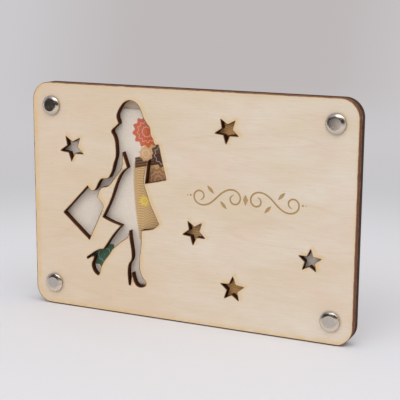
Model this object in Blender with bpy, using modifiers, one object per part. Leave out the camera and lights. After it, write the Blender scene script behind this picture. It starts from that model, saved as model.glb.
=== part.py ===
"""A wooden gift card: two laser-cut plywood plates, clamped by four book screws over a paper note.

The card stands upright on its long bottom edge. Lengths are in metres. +X runs along the card,
+Y goes through it from front to back, and +Z is up. The origin is the middle of the bottom edge.
"""

import math

import bmesh
import bpy
import numpy as np
from mathutils import Matrix, Vector

# Plates
CARD_WIDTH = 0.149
CARD_HEIGHT = 0.100
CORNER_RADIUS = 0.008
PLATE_THICKNESS = 0.003
PLATE_GAP = 0.0007

# Book screws: a barrel with a smooth head in front, a slotted screw behind
SCREW_INSET_ACROSS = 0.0095
SCREW_INSET_UP = 0.010
HEAD_DIAMETER = 0.0085
HEAD_THICKNESS = 0.0016
HEAD_ROUNDING = 0.0011
HEAD_SEAT_CLEARANCE = 0.0003
BARREL_DIAMETER = 0.005
BARREL_HOLE_CLEARANCE = 0.0003
BARREL_END_SETBACK = 0.0004
SHANK_DIAMETER = 0.0034
SHANK_LENGTH = 0.0047
SHANK_TIP_CHAMFER = 0.0004
SHANK_SIDE_CLEARANCE = 0.0003
SHANK_TIP_CLEARANCE = 0.0006
SLOT_WIDTH = 0.0011
SLOT_DEPTH = 0.0006
SLOT_TURNS_DEGREES = (24, 73, 139, 8)

# Paper note, with its right end folded back to pass between the barrels
NOTE_HEIGHT = 0.077
NOTE_FLAP = 0.017
NOTE_THICKNESS = 0.0001
NOTE_FOLD_GAP = 0.0001
NOTE_SIDE_CLEARANCE = 0.001
NOTE_BOTTOM = 0.0133

# Stars: each row is a place across and up, a size and a tip's turn, all shares of the whole
STAR_RADIUS = 0.0054
STAR_WAIST_SHARE = 0.43
STAR_POINTS = 5
STAR_SHARES = (
    (-0.368, 0.718, 1.10, 0.139),
    (0.126, 0.842, 1.00, 0.139),
    (0.028, 0.402, 0.98, 0.139),
    (0.147, 0.178, 1.00, 0.242),
    (0.374, 0.339, 0.90, 0.242),
)

# Figure: wood left below and above it, place across the card, and outline
FIGURE_BOTTOM = 0.013
FIGURE_TOP_MARGIN = 0.006
FIGURE_PLACE_SHARE = -0.201
# Each stretch starts at a sharp corner and is smooth from there to the next stretch.
# Its points are shares of the figure's height, across and up from the place on the ground line.
FIGURE_OUTLINE_SHARES = {
    "neck and back of the arm": (
        (-0.019, 0.877), (-0.040, 0.858), (-0.058, 0.842), (-0.062, 0.831), (-0.053, 0.815),
        (-0.042, 0.786), (-0.037, 0.744), (-0.038, 0.704), (-0.049, 0.663), (-0.065, 0.614),
    ),
    "back of the hand": (
        (-0.083, 0.581), (-0.101, 0.574), (-0.119, 0.573), (-0.133, 0.567),
    ),
    "handle": (
        (-0.144, 0.552), (-0.169, 0.509), (-0.181, 0.501), (-0.195, 0.505),
    ),
    "left bag, top": ((-0.214, 0.527),),
    "left bag, left side": ((-0.367, 0.367),),
    "left bag, bottom": ((-0.207, 0.231),),
    "left bag, right side": ((-0.123, 0.411), (-0.120, 0.426), (-0.131, 0.443)),
    "left bag, mouth": ((-0.157, 0.473), (-0.153, 0.481), (-0.144, 0.506)),
    "palm and inside of the arm": (
        (-0.127, 0.527), (-0.111, 0.531), (-0.089, 0.537), (-0.069, 0.556), (-0.043, 0.589),
        (-0.019, 0.621), (-0.004, 0.648), (-0.001, 0.685),
    ),
    "back": ((0.001, 0.726),),
    "skirt, left side": (
        (0.031, 0.644), (0.012, 0.631), (-0.012, 0.604), (-0.032, 0.567), (-0.052, 0.515),
        (-0.074, 0.459), (-0.099, 0.407),
    ),
    "hem, left": ((-0.122, 0.365), (-0.065, 0.343)),
    "rear leg, upper side": (
        (-0.009, 0.328), (-0.041, 0.293), (-0.074, 0.251), (-0.099, 0.214),
    ),
    "rear shoe, back": ((-0.120, 0.186), (-0.148, 0.180), (-0.169, 0.169), (-0.195, 0.151)),
    "rear heel, tip": ((-0.223, 0.130),),
    "rear heel, front": ((-0.220, 0.122), (-0.198, 0.136)),
    "rear shoe, sole and lower leg": (
        (-0.175, 0.143), (-0.185, 0.116), (-0.193, 0.094), (-0.188, 0.070), (-0.177, 0.052),
        (-0.165, 0.041), (-0.154, 0.038), (-0.146, 0.051), (-0.135, 0.086), (-0.117, 0.119),
        (-0.086, 0.160), (-0.063, 0.193), (-0.037, 0.217), (0.000, 0.247), (0.028, 0.269),
    ),
    "front leg, rear side": (
        (0.040, 0.306), (0.044, 0.259), (0.052, 0.210), (0.056, 0.172), (0.051, 0.142),
        (0.037, 0.120), (0.031, 0.090), (0.033, 0.043),
    ),
    "front heel, tip": ((0.037, 0.006),),
    "front heel, front": ((0.046, 0.006), (0.051, 0.040)),
    "front shoe and shin": (
        (0.056, 0.077), (0.064, 0.043), (0.077, 0.016), (0.096, 0.002), (0.121, 0.005),
        (0.136, 0.014), (0.140, 0.027), (0.132, 0.040), (0.120, 0.052), (0.107, 0.078),
        (0.099, 0.117), (0.101, 0.169), (0.107, 0.210), (0.110, 0.251), (0.110, 0.290),
    ),
    "hem, right": ((0.112, 0.315), (0.154, 0.322), (0.190, 0.335)),
    "skirt, right side": (
        (0.217, 0.359), (0.196, 0.398), (0.168, 0.454), (0.146, 0.509), (0.132, 0.549),
        (0.126, 0.580), (0.128, 0.611), (0.135, 0.641), (0.143, 0.669),
    ),
    "right bag, left side": ((0.153, 0.693),),
    "right bag, bottom": ((0.137, 0.569),),
    "right bag, right side": ((0.258, 0.599), (0.240, 0.677), (0.227, 0.728)),
    "right bag, top": ((0.215, 0.780),),
    "front arm, face and hair": (
        (0.198, 0.777), (0.186, 0.790), (0.183, 0.806), (0.170, 0.822), (0.165, 0.842),
        (0.162, 0.864), (0.141, 0.891), (0.125, 0.916), (0.117, 0.938), (0.104, 0.965),
        (0.081, 0.990), (0.053, 1.000), (0.017, 0.990), (-0.009, 0.964), (-0.022, 0.941),
        (-0.030, 0.920), (-0.027, 0.898),
    ),
}

# Engraved ornament: a pair of scrolls about a lozenge, with leaves and dots
ORNAMENT_PLACE_SHARES = (0.184, 0.562)
GROOVE_WIDTH = 0.0006
GROOVE_DEPTH = 0.0002
LOZENGE_WIDTH = 0.0022
LOZENGE_HEIGHT = 0.0044
SCROLL_LENGTH = 0.0215
SCROLL_GAP = 0.0009
# How far each end winds up, counted so that 1 is a quarter turn and 2 is a full one
SCROLL_WINDING_SHARE = 2.1
# How fast a stroke widens from its tips, and how wide the tips are
SWELL_SHARE = 2.0
TIP_SHARE = 0.4
LEAF_LENGTH = 0.0042
LEAF_WIDTH = 0.0013
# Each leaf's root lies on the middle line, and its tip is turned by a share of a full turn
LEAF_SHARES = (
    (0.57, 0.36, 0.13),
    (0.43, -0.36, 0.63),
)
DOT_RADIUS = 0.0004
DOT_STEP = 0.0014

# Cuts run past the surface that they open by this much
CUT_OVERRUN = 0.0005

# Points this close are one point
MERGE_DISTANCE = 0.000001

# Roundness
CORNER_STEPS = 8
TURNED_STEPS = 24
ROUNDING_STEPS = 4
HOLE_STEPS = 24
FOLD_STEPS = 4
SCROLL_STEPS = 40
LEAF_STEPS = 6
DOT_STEPS = 10
FIGURE_STEPS = 3

# What follows from the sizes above
CARD_THICKNESS = 2 * PLATE_THICKNESS + PLATE_GAP
FRONT_FACE = -CARD_THICKNESS / 2
BACK_FACE = CARD_THICKNESS / 2
PLATE_OFFSET = (PLATE_GAP + PLATE_THICKNESS) / 2
BARREL_LENGTH = CARD_THICKNESS - BARREL_END_SETBACK
HOLE_RADIUS = BARREL_DIAMETER / 2 + BARREL_HOLE_CLEARANCE
BORE_RADIUS = SHANK_DIAMETER / 2 + SHANK_SIDE_CLEARANCE
BORE_DEPTH = SHANK_LENGTH - BARREL_END_SETBACK + SHANK_TIP_CLEARANCE
SCREW_SPREAD = CARD_WIDTH / 2 - SCREW_INSET_ACROSS
NOTE_WIDTH = 2 * SCREW_SPREAD - BARREL_DIAMETER - 2 * NOTE_SIDE_CLEARANCE
FIGURE_HEIGHT = CARD_HEIGHT - FIGURE_TOP_MARGIN - FIGURE_BOTTOM

SCREW_PLACES = {
    "top_left": (-SCREW_SPREAD, CARD_HEIGHT - SCREW_INSET_UP),
    "top_right": (SCREW_SPREAD, CARD_HEIGHT - SCREW_INSET_UP),
    "bottom_left": (-SCREW_SPREAD, SCREW_INSET_UP),
    "bottom_right": (SCREW_SPREAD, SCREW_INSET_UP),
}


def clear_scene():
    """Remove whatever the file holds, so that only the card is left."""
    for thing in list(bpy.data.objects):
        bpy.data.objects.remove(thing, do_unlink=True)


def new_collection(name):
    """A collection of that name in the scene."""
    collection = bpy.data.collections.new(name)
    bpy.context.scene.collection.children.link(collection)
    return collection


def new_material(name, colour, roughness, metallic=0.0):
    """A Principled material of one colour."""
    material = bpy.data.materials.new(name)
    material.use_nodes = True
    shader = material.node_tree.nodes["Principled BSDF"]
    shader.inputs["Base Color"].default_value = (*colour, 1.0)
    shader.inputs["Roughness"].default_value = roughness
    shader.inputs["Metallic"].default_value = metallic
    material.diffuse_color = (*colour, 1.0)
    return material


def arc(centre, radius, start, end, steps):
    """Points along an arc about a centre, from one angle to another, both ends included."""
    angles = np.linspace(start, end, steps + 1)
    return np.column_stack([
        centre[0] + radius * np.cos(angles),
        centre[1] + radius * np.sin(angles),
    ])


def circle(centre, radius, steps):
    """Points round a circle, the first not repeated."""
    return arc(centre, radius, 0, math.tau, steps)[:-1]


def plate_outline():
    """The plate's rectangle with its round corners, seen from the front."""
    across = CARD_WIDTH / 2 - CORNER_RADIUS
    low = CORNER_RADIUS
    high = CARD_HEIGHT - CORNER_RADIUS
    quarter = math.pi / 2
    centres = ((across, low), (across, high), (-across, high), (-across, low))
    corners = [
        arc(centre, CORNER_RADIUS, (turn - 1) * quarter, turn * quarter, CORNER_STEPS)
        for turn, centre in enumerate(centres)
    ]
    return np.concatenate(corners)


def star_outline(across_share, up_share, size_share, turn_share):
    """A star whose tips lie on one circle and whose waists lie on a smaller one."""
    centre = np.array([across_share * CARD_WIDTH, up_share * CARD_HEIGHT])
    angles = turn_share * math.tau + np.arange(2 * STAR_POINTS) * math.pi / STAR_POINTS
    radii = np.where(np.arange(2 * STAR_POINTS) % 2 == 0, 1.0, STAR_WAIST_SHARE)
    spokes = np.column_stack([np.cos(angles), np.sin(angles)]) * radii[:, None]
    return centre + spokes * STAR_RADIUS * size_share


def scroll_path():
    """The middle line of one scroll, from its inner end to its outer end.

    The curve's bend grows in proportion to the distance from its middle, to the left on one
    side and to the right on the other, so that both ends wind up. It is turned an eighth of a
    turn, which sets its two eyes level, and scaled to the scroll's length. The steps shorten
    towards the ends, where the bend is tight.
    """
    sweep = np.linspace(-math.pi / 2, math.pi / 2, SCROLL_STEPS + 1)
    reach = SCROLL_WINDING_SHARE * np.sin(sweep)
    heading = math.pi / 2 * reach ** 2 - math.pi / 4
    middle = (heading[1:] + heading[:-1]) / 2
    strides = np.column_stack([np.cos(middle), np.sin(middle)]) * np.diff(reach)[:, None]
    path = np.concatenate([np.zeros((1, 2)), np.cumsum(strides, axis=0)])
    path -= path[SCROLL_STEPS // 2]
    path *= (SCROLL_LENGTH - GROOVE_WIDTH) / np.ptp(path[:, 0])
    path[:, 0] += LOZENGE_WIDTH / 2 + SCROLL_GAP + SCROLL_LENGTH / 2
    return path


def stroke_outline(path):
    """The closed outline of a stroke of groove width along a path, narrowed at both ends."""
    along = np.gradient(path, axis=0)
    along /= np.linalg.norm(along, axis=1)[:, None]
    across = np.column_stack([-along[:, 1], along[:, 0]])
    progress = np.linspace(0, math.pi, len(path))
    swell = np.clip(SWELL_SHARE * np.sin(progress), TIP_SHARE, 1)[:, None]
    side = across * swell * GROOVE_WIDTH / 2
    return np.concatenate([path + side, (path - side)[::-1]])


def leaf_outline(root, turn):
    """A pointed leaf from its root, made of two bows."""
    along = np.linspace(0, 1, LEAF_STEPS + 1)
    bow = np.sin(along * math.pi) * LEAF_WIDTH / 2
    upper = np.column_stack([along * LEAF_LENGTH, bow])
    lower = np.column_stack([along * LEAF_LENGTH, -bow])[::-1][1:-1]
    outline = np.concatenate([upper, lower])
    cosine, sine = math.cos(turn), math.sin(turn)
    return root + outline @ np.array([[cosine, sine], [-sine, cosine]])


def ornament_outlines():
    """All grooves of the ornament: one half, its mirror image, and the lozenge between them."""
    half = [stroke_outline(scroll_path())]
    scroll_start = LOZENGE_WIDTH / 2 + SCROLL_GAP
    for along_share, up_share, turn_share in LEAF_SHARES:
        root = np.array([scroll_start + along_share * SCROLL_LENGTH, up_share * LEAF_LENGTH])
        half.append(leaf_outline(root, turn_share * math.tau))
    first_dot = scroll_start + SCROLL_LENGTH + DOT_RADIUS + SCROLL_GAP
    half.append(circle((first_dot, 0), DOT_RADIUS, DOT_STEPS))
    half.append(circle((first_dot + DOT_STEP, 0), DOT_RADIUS / 2, DOT_STEPS))
    mirrored = [(outline * np.array([-1, 1]))[::-1] for outline in half]
    lozenge = circle((0, 0), LOZENGE_HEIGHT / 2, 4) * np.array([LOZENGE_WIDTH / LOZENGE_HEIGHT, 1])
    place = np.array(ORNAMENT_PLACE_SHARES) * np.array([CARD_WIDTH, CARD_HEIGHT])
    return [outline + place for outline in half + mirrored + [lozenge]]


def figure_points():
    """The figure's outline on the card, with a mark for each point that is a sharp corner."""
    place = np.array([FIGURE_PLACE_SHARE * CARD_WIDTH, FIGURE_BOTTOM])
    points = []
    sharp = []
    for stretch in FIGURE_OUTLINE_SHARES.values():
        points += [place + np.array(share) * FIGURE_HEIGHT for share in stretch]
        sharp += [True] + [False] * (len(stretch) - 1)
    return points, sharp


def add_straight_spline(curve, points):
    """A closed spline of straight edges."""
    spline = curve.splines.new("POLY")
    spline.points.add(len(points) - 1)
    for place, (across, up) in zip(spline.points, points):
        place.co = (across, up, 0, 1)
    spline.use_cyclic_u = True
    return spline


def add_smooth_spline(curve, points, sharp):
    """A closed spline that is smooth except at its sharp corners."""
    spline = curve.splines.new("BEZIER")
    spline.bezier_points.add(len(points) - 1)
    for place, (across, up), corner in zip(spline.bezier_points, points, sharp):
        place.co = (across, up, 0)
        kind = "VECTOR" if corner else "AUTO"
        place.handle_left_type = kind
        place.handle_right_type = kind
    spline.resolution_u = FIGURE_STEPS
    spline.use_cyclic_u = True
    return spline


def flat_curve(name, outlines, thickness):
    """A filled flat curve of that thickness, with an outline inside another as its hole."""
    curve = bpy.data.curves.new(name, "CURVE")
    curve.dimensions = "2D"
    curve.fill_mode = "BOTH"
    curve.extrude = thickness / 2
    for outline in outlines:
        add_straight_spline(curve, outline)
    return curve


def upright(curve, middle, collection):
    """An object that stands the flat curve up, with the middle of its thickness at that depth."""
    board = bpy.data.objects.new(curve.name, curve)
    board.location = (0, middle, 0)
    board.rotation_euler = (math.pi / 2, 0, 0)
    collection.objects.link(board)
    return board


def as_mesh(board):
    """Turn a curve object into a mesh object of the same name and place, its caps welded on."""
    bpy.context.view_layer.update()
    evaluated = board.evaluated_get(bpy.context.evaluated_depsgraph_get())
    mesh = bpy.data.meshes.new_from_object(evaluated)
    shape = bmesh.new()
    shape.from_mesh(mesh)
    bmesh.ops.remove_doubles(shape, verts=shape.verts, dist=MERGE_DISTANCE)
    bmesh.ops.recalc_face_normals(shape, faces=shape.faces)
    shape.to_mesh(mesh)
    shape.free()
    name = board.name
    solid = bpy.data.objects.new(name + " solid", mesh)
    solid.matrix_world = board.matrix_world
    board.users_collection[0].objects.link(solid)
    bpy.data.objects.remove(board, do_unlink=True)
    solid.name = name
    return solid


def hide_cutter(cutter):
    """Show a cutter as wires only, and leave it out of the picture."""
    cutter.display_type = "WIRE"
    cutter.hide_render = True


def cut(solid, cutter):
    """Take the cutter away from the solid."""
    hide_cutter(cutter)
    modifier = solid.modifiers.new("cut by " + cutter.name, "BOOLEAN")
    modifier.operation = "DIFFERENCE"
    modifier.solver = "EXACT"
    modifier.object = cutter


def turned_mesh(name, profile):
    """A mesh of the profile's edges, for a Screw modifier to turn about Z."""
    mesh = bpy.data.meshes.new(name)
    points = [(radius, 0, height) for radius, height in profile]
    edges = [(index, index + 1) for index in range(len(points) - 1)]
    mesh.from_pydata(points, edges, [])
    return mesh


def turned_object(name, profile, collection):
    """A round solid, turned from a profile that runs down its outer side."""
    turned = bpy.data.objects.new(name, turned_mesh(name, profile))
    collection.objects.link(turned)
    modifier = turned.modifiers.new("turn", "SCREW")
    modifier.axis = "Z"
    modifier.angle = math.tau
    modifier.steps = TURNED_STEPS
    modifier.render_steps = TURNED_STEPS
    modifier.use_merge_vertices = True
    modifier.merge_threshold = MERGE_DISTANCE
    modifier.use_smooth_shade = True
    return turned


def head_profile():
    """The outer side of a head, from the middle of its face to its underside, above a seat at zero."""
    top = HEAD_SEAT_CLEARANCE + HEAD_THICKNESS
    rim = HEAD_DIAMETER / 2 - HEAD_ROUNDING
    rounding = arc((rim, top - HEAD_ROUNDING), HEAD_ROUNDING, math.pi / 2, 0, ROUNDING_STEPS)
    return [(0, top), *map(tuple, rounding), (HEAD_DIAMETER / 2, HEAD_SEAT_CLEARANCE)]


def post_profile():
    """A post: the head, then the barrel's outside, its end, and the blind bore inside it."""
    barrel = BARREL_DIAMETER / 2
    return head_profile() + [
        (barrel, HEAD_SEAT_CLEARANCE),
        (barrel, -BARREL_LENGTH),
        (BORE_RADIUS, -BARREL_LENGTH),
        (BORE_RADIUS, BORE_DEPTH - BARREL_LENGTH),
        (0, BORE_DEPTH - BARREL_LENGTH),
    ]


def screw_profile():
    """A screw: the head, then the shank with a chamfer at its tip."""
    shank = SHANK_DIAMETER / 2
    return head_profile() + [
        (shank, HEAD_SEAT_CLEARANCE),
        (shank, SHANK_TIP_CHAMFER - SHANK_LENGTH),
        (shank - SHANK_TIP_CHAMFER, -SHANK_LENGTH),
        (0, -SHANK_LENGTH),
    ]


def make_front_plate(parts, cutters, material):
    """The front plate, with its holes, stars and figure cut through and its ornament engraved."""
    holes = [circle(place, HOLE_RADIUS, HOLE_STEPS) for place in SCREW_PLACES.values()]
    stars = [star_outline(*shares) for shares in STAR_SHARES]
    curve = flat_curve("front_plate", [plate_outline()] + holes + stars, PLATE_THICKNESS)
    add_smooth_spline(curve, *figure_points())
    plate = as_mesh(upright(curve, -PLATE_OFFSET, parts))
    grooves = flat_curve("ornament_cutter", ornament_outlines(), GROOVE_DEPTH + CUT_OVERRUN)
    groove_middle = FRONT_FACE + (GROOVE_DEPTH - CUT_OVERRUN) / 2
    cut(plate, as_mesh(upright(grooves, groove_middle, cutters)))
    plate.data.materials.append(material)
    return plate


def make_back_plate(parts, material):
    """The back plate, plain except for its four screw holes."""
    holes = [circle(place, HOLE_RADIUS, HOLE_STEPS) for place in SCREW_PLACES.values()]
    curve = flat_curve("back_plate", [plate_outline()] + holes, PLATE_THICKNESS)
    curve.materials.append(material)
    return upright(curve, PLATE_OFFSET, parts)


def make_note(parts, material):
    """The note, one sheet along a path seen from above: the front leaf, the fold and the flap."""
    lift = (NOTE_FOLD_GAP + NOTE_THICKNESS) / 2
    fold = NOTE_WIDTH / 2 - NOTE_THICKNESS / 2 - lift
    flap_end = NOTE_WIDTH / 2 - NOTE_FLAP
    turn = arc((fold, 0), lift, -math.pi / 2, math.pi / 2, FOLD_STEPS)
    path = [(-NOTE_WIDTH / 2, -lift), *map(tuple, turn), (flap_end, lift)]
    curve = bpy.data.curves.new("gift_note", "CURVE")
    curve.dimensions = "2D"
    curve.fill_mode = "NONE"
    curve.extrude = NOTE_HEIGHT / 2
    add_straight_spline(curve, path).use_cyclic_u = False
    curve.materials.append(material)
    note = bpy.data.objects.new("gift_note", curve)
    note.location = (0, 0, NOTE_BOTTOM + NOTE_HEIGHT / 2)
    parts.objects.link(note)
    thicken = note.modifiers.new("paper thickness", "SOLIDIFY")
    thicken.thickness = NOTE_THICKNESS
    thicken.offset = 0
    thicken.use_even_offset = True
    return note


def make_slot_cutter(name, cutters):
    """A bar that cuts the screwdriver slot across a head."""
    shape = bmesh.new()
    top = HEAD_SEAT_CLEARANCE + HEAD_THICKNESS
    size = Vector((HEAD_DIAMETER + 2 * CUT_OVERRUN, SLOT_WIDTH, SLOT_DEPTH + CUT_OVERRUN))
    bmesh.ops.create_cube(shape, size=1, matrix=Matrix.Diagonal(size).to_4x4())
    bmesh.ops.translate(shape, verts=shape.verts, vec=(0, 0, top + (CUT_OVERRUN - SLOT_DEPTH) / 2))
    mesh = bpy.data.meshes.new(name)
    shape.to_mesh(mesh)
    shape.free()
    cutter = bpy.data.objects.new(name, mesh)
    cutters.objects.link(cutter)
    return cutter


def make_post(corner, parts, material):
    """One post, its head in front and its origin on the plate's front face."""
    across, up = SCREW_PLACES[corner]
    post = turned_object("post_" + corner, post_profile(), parts)
    post.location = (across, FRONT_FACE, up)
    post.rotation_euler = (math.pi / 2, 0, 0)
    post.data.materials.append(material)
    return post


def make_screw(corner, slot_turn, parts, cutters, material):
    """One screw, its slotted head behind and its origin on the plate's back face."""
    across, up = SCREW_PLACES[corner]
    screw = turned_object("screw_" + corner, screw_profile(), parts)
    slot = make_slot_cutter("slot_" + corner, cutters)
    for piece in (screw, slot):
        piece.location = (across, BACK_FACE, up)
        piece.rotation_euler = (-math.pi / 2, 0, 0)
    slot.rotation_euler.rotate_axis("Z", math.radians(slot_turn))
    cut(screw, slot)
    screw.data.materials.append(material)
    return screw


def main():
    """Build the card."""
    clear_scene()
    parts = new_collection("wooden_gift_card")
    cutters = new_collection("cutters")
    wood = new_material("birch_plywood", (0.69, 0.56, 0.42), 0.6)
    back_wood = new_material("birch_plywood_back", (0.66, 0.53, 0.39), 0.6)
    paper = new_material("printed_paper", (0.62, 0.57, 0.56), 0.8)
    make_front_plate(parts, cutters, wood)
    make_back_plate(parts, back_wood)
    make_note(parts, paper)
    for corner, slot_turn in zip(SCREW_PLACES, SLOT_TURNS_DEGREES):
        post_metal = new_material("nickel_post_" + corner, (0.62, 0.60, 0.57), 0.2, 1.0)
        screw_metal = new_material("nickel_screw_" + corner, (0.60, 0.58, 0.55), 0.25, 1.0)
        make_post(corner, parts, post_metal)
        make_screw(corner, slot_turn, parts, cutters, screw_metal)


main()
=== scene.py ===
# %% [markdown]
# # A wooden gift card, dressed for its picture
# The real thing holds money as a present. Two sheets of thin birch plywood, cut by a laser, are
# clamped together by four small metal book screws, and a folded paper note shows through the
# cut-outs of the front sheet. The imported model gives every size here. This lesson gives each piece
# its finish: pale veneer, scorched cut edges, bright nickel and printed paper.

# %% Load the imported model
import math

import bmesh
import bpy
import numpy as np
from mathutils import Matrix, Vector
from mathutils.geometry import delaunay_2d_cdt


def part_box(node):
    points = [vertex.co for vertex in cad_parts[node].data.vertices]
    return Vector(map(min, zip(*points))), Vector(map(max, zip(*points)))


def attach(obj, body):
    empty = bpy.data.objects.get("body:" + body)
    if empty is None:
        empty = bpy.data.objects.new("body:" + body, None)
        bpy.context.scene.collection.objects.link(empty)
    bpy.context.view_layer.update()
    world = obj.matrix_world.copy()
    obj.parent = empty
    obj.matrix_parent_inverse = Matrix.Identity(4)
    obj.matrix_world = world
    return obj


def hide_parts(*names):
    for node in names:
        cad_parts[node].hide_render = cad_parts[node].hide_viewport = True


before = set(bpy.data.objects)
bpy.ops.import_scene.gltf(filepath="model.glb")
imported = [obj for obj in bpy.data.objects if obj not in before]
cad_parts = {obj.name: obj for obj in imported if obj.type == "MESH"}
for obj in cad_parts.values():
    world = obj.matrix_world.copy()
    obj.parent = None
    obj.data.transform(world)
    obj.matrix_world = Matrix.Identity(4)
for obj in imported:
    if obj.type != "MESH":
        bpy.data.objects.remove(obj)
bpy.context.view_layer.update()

MM = 0.001

# %% [markdown]
# ## The camera
# The photograph looks a little from the right and a little from above, with a long lens. A camera
# could be aimed with a constraint, but three turns say more: about the upright axis, down from the
# horizon, and a hair of roll, because nobody holds a camera perfectly level.

# %% Camera
CARD_MIDDLE = Vector((0, 0, 0.05))
CAMERA_PLACE = (0.1962, -0.40725, 0.1454)
CAMERA_AZIMUTH = math.radians(25.11)
CAMERA_ELEVATION = math.radians(11.53)
CAMERA_ROLL = math.radians(0.42)
# The lens's length and the film's width, in mm
LENS_LENGTH = 98.49
FILM_WIDTH = 36

lens = bpy.data.cameras.new("camera")
lens.lens = LENS_LENGTH
lens.sensor_width = FILM_WIDTH
lens.clip_start = 0.01
camera = bpy.data.objects.new("camera", lens)
turn = Matrix.Rotation(CAMERA_AZIMUTH, 4, "Z")
tilt = Matrix.Rotation(math.pi / 2 - CAMERA_ELEVATION, 4, "X")
roll = Matrix.Rotation(CAMERA_ROLL, 4, "Z")
camera.matrix_world = Matrix.Translation(CAMERA_PLACE) @ turn @ tilt @ roll
bpy.context.scene.collection.objects.link(camera)
bpy.context.scene.camera = camera
bpy.context.scene.view_settings.view_transform = "Standard"
print("camera", round((CARD_MIDDLE - Vector(CAMERA_PLACE)).length, 2), "m from the middle of the card")

# %% [markdown]
# ## Two helpers for every material
# Colours are written as a screen shows them, in hexadecimal, and turned to the linear values that
# light adds up in. The second helper adds one node to a material: its own settings by name, and
# its inputs as numbers, colours or the outputs of other nodes.


# %% Colour and node helpers
def linear(colour):
    """Linear red, green, blue and a full alpha from an sRGB hex colour such as "D9C7B1".

    Below 0.04045 a channel is divided by 12.92, and above it follows a power of 2.4.
    """
    channels = np.array([int(colour[place:place + 2], 16) for place in (0, 2, 4)]) / 255
    bent = np.where(channels <= 0.04045, channels / 12.92, ((channels + 0.055) / 1.055) ** 2.4)
    return (*bent.tolist(), 1.0)


def add_node(tree, kind, inputs, give=0, stops=(), **settings):
    """Add a shader node of a kind, with inputs by name or number, and return one of its outputs."""
    made = tree.nodes.new("ShaderNode" + kind)
    for name, value in settings.items():
        setattr(made, name, value)
    for key, value in inputs.items():
        if isinstance(value, bpy.types.NodeSocket):
            tree.links.new(value, made.inputs[key])
        else:
            made.inputs[key].default_value = value
    for place, (position, colour) in enumerate(stops):
        elements = made.color_ramp.elements
        element = elements[place] if place < 2 else elements.new(position)
        element.position = position
        element.color = colour
    return made.outputs[give]


def new_material(name, **constants):
    """A material, its node tree and its Principled shader, with constants on the shader's own sockets."""
    material = bpy.data.materials.new(name)
    material.use_nodes = True
    tree = material.node_tree
    shader = tree.nodes["Principled BSDF"]
    for socket, value in constants.items():
        shader.inputs[socket.replace("_", " ")].default_value = value
    return material, tree, shader


# %% [markdown]
# ## Reading the cut lines
# The laser follows closed outlines: the round-cornered sheet, the screw holes, the stars and the
# walking figure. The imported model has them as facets. The triangles on one flat face are found, and
# an edge that only one of them uses is a piece of an outline. Walking from edge to edge closes it.

# %% Outlines of a flat face
# Points closer together than this are one
SAME_POINT = 0.002 * MM


def points_of(mesh):
    """A mesh's points, as rows of across, depth and up."""
    points = np.empty(len(mesh.vertices) * 3, np.float32)
    mesh.vertices.foreach_get("co", points)
    return points.reshape(-1, 3).astype(float)


def welded(mesh):
    """A mesh's points with doubles merged, and its triangles as rows of point numbers."""
    points = points_of(mesh)
    keys = np.round(points / SAME_POINT).astype(np.int64)
    _, first, number = np.unique(keys, axis=0, return_index=True, return_inverse=True)
    corners = np.empty(len(mesh.loops), np.int32)
    mesh.loops.foreach_get("vertex_index", corners)
    return points[first], number.reshape(-1)[corners].reshape(-1, 3)


def outlines_of(mesh, depth):
    """The closed outlines of the flat face at that depth, as (across, up), wood on their left."""
    points, triangles = welded(mesh)
    on_face = np.abs(points[triangles][:, :, 1] - depth).max(1) < SAME_POINT
    flat = triangles[on_face]
    starts = flat.reshape(-1)
    ends = np.roll(flat, -1, axis=1).reshape(-1)
    single = ~np.isin(starts * len(points) + ends, ends * len(points) + starts)
    following = dict(zip(starts[single].tolist(), ends[single].tolist()))
    found = []
    while following:
        here, there = following.popitem()
        loop = [here]
        while there != loop[0]:
            loop.append(there)
            there = following.pop(there)
        found.append(points[loop][:, (0, 2)])
    return sorted(found, key=lambda outline: -len(outline))


front_low, front_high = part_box("front_plate")
back_low, back_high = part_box("back_plate")
front_cuts = outlines_of(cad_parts["front_plate"].data, front_low.y)
print(len(front_cuts), "outlines on the front face, with", [len(cut) for cut in front_cuts], "points")

# %% [markdown]
# ## Rounding the facets
# A laser draws true curves. Between two points a cubic is laid that leaves and arrives along the
# outline's own direction, so facets turn back into curves. Sharp corners, such as a star's tips,
# stay sharp, and so do straight runs.

# %% Smooth outlines
# A sharper turn than this is a corner
CORNER_TURN = math.radians(40)
# A chord that is so many times as long as its neighbour is a straight run
STRAIGHT_RATIO = 3.5


def unit(vectors):
    """Each row scaled to length one."""
    return vectors / np.linalg.norm(vectors, axis=1)[:, None]


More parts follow.
